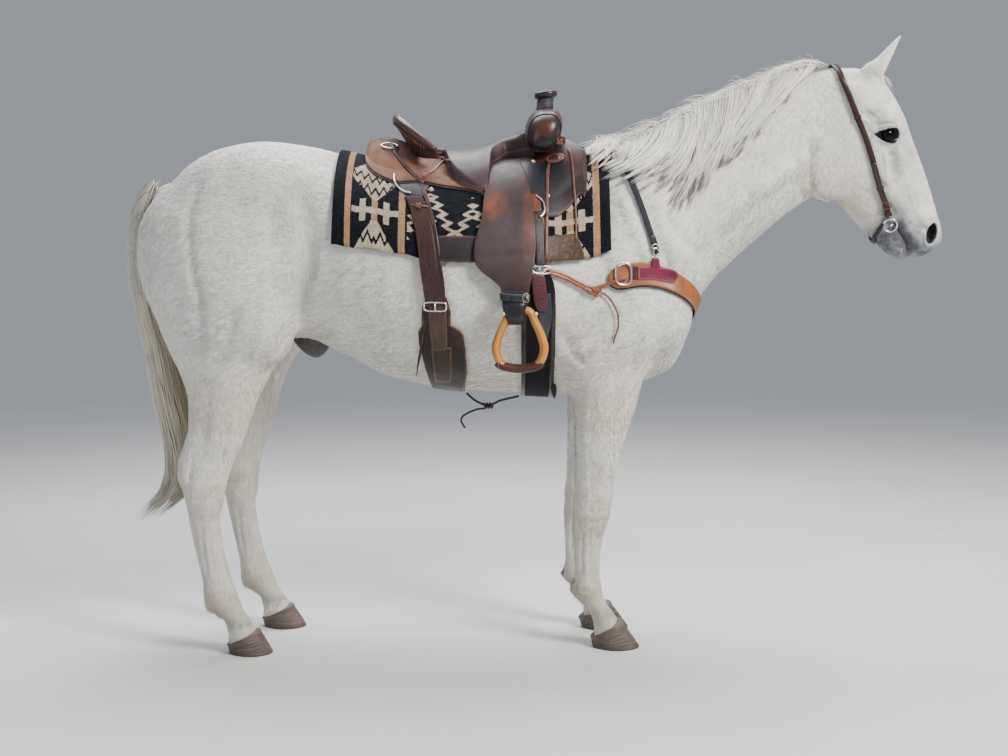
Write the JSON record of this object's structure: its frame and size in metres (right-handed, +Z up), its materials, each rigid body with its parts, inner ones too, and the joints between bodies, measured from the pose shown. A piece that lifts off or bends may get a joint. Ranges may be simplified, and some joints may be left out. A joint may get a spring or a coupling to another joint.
{
  "type": "saddled horse",
  "caption": "Grey riding horse standing at rest, fitted with a western stock saddle, woven blanket, breast collar, cinches and bridle without reins.",
  "frame": {"origin": "on the floor under the middle of the bounding box, midway between the horse's two sides", "axes": "+X from tail to nose, +Y towards the horse's left side, +Z up"},
  "size_m": [2.5757, 0.778, 1.9216],
  "materials": {
    "coat": "short white-grey horse coat",
    "hoof": "grey-brown horn, faintly ringed",
    "eye": "dark wet eye",
    "mane_hair": "long white hair",
    "tail_hair": "long cream hair",
    "dark_skin": "bare black-grey skin",
    "blanket": "thick woven wool in black, cream and tan",
    "tan_leather": "rough-out leather",
    "dark_leather": "worn smooth oiled leather",
    "collar_leather": "tan leather with raw edges",
    "black_web": "black cord and webbing",
    "wood": "varnished bent wood",
    "steel": "polished steel hardware"
  },
  "bodies": {
    "root": {"trunk": "coat", "neck": "coat", "head": "coat", "leg_fore_right": "coat", "leg_fore_left": "coat", "leg_hind_right": "coat", "leg_hind_left": "coat", "ear_right": "coat", "ear_left": "coat", "hoof_fore_right": "hoof", "hoof_fore_left": "hoof", "hoof_hind_right": "hoof", "hoof_hind_left": "hoof", "eye_right": "eye", "eye_left": "eye", "mane": "mane_hair", "forelock": "mane_hair", "tail": "tail_hair", "sheath": "dark_skin", "blanket": "blanket", "saddle_skirts": "tan_leather", "saddle_seat": "dark_leather", "saddle_fork": "dark_leather", "fender_right": "dark_leather", "fender_left": "dark_leather", "stirrup_leather_right": "dark_leather", "stirrup_leather_left": "dark_leather", "rear_billet_right": "dark_leather", "rear_billet_left": "dark_leather", "flank_cinch": "dark_leather", "latigo_right": "dark_leather", "latigo_left": "dark_leather", "cinch_tongue_right": "dark_leather", "cinch_tongue_left": "dark_leather", "headstall": "dark_leather", "rear_string_right": "dark_leather", "rear_string_left": "dark_leather", "breast_collar": "collar_leather", "tug_strap_right": "collar_leather", "tug_strap_left": "collar_leather", "tug_tail_right": "collar_leather", "tug_tail_left": "collar_leather", "saddle_horn": "black_web", "front_cinch": "black_web", "collar_neck_strap": "black_web", "curb_strap": "black_web", "cinch_connector": "black_web", "connector_end": "black_web", "stirrup_right": "wood", "stirrup_left": "wood", "flank_buckle_right": "steel", "flank_buckle_left": "steel", "cinch_ring_right": "steel", "cinch_ring_left": "steel", "collar_ring_right": "steel", "collar_ring_left": "steel", "bit_ring_right": "steel", "bit_ring_left": "steel", "saddle_ring_right": "steel", "saddle_ring_left": "steel"}
  },
  "joints": []
}
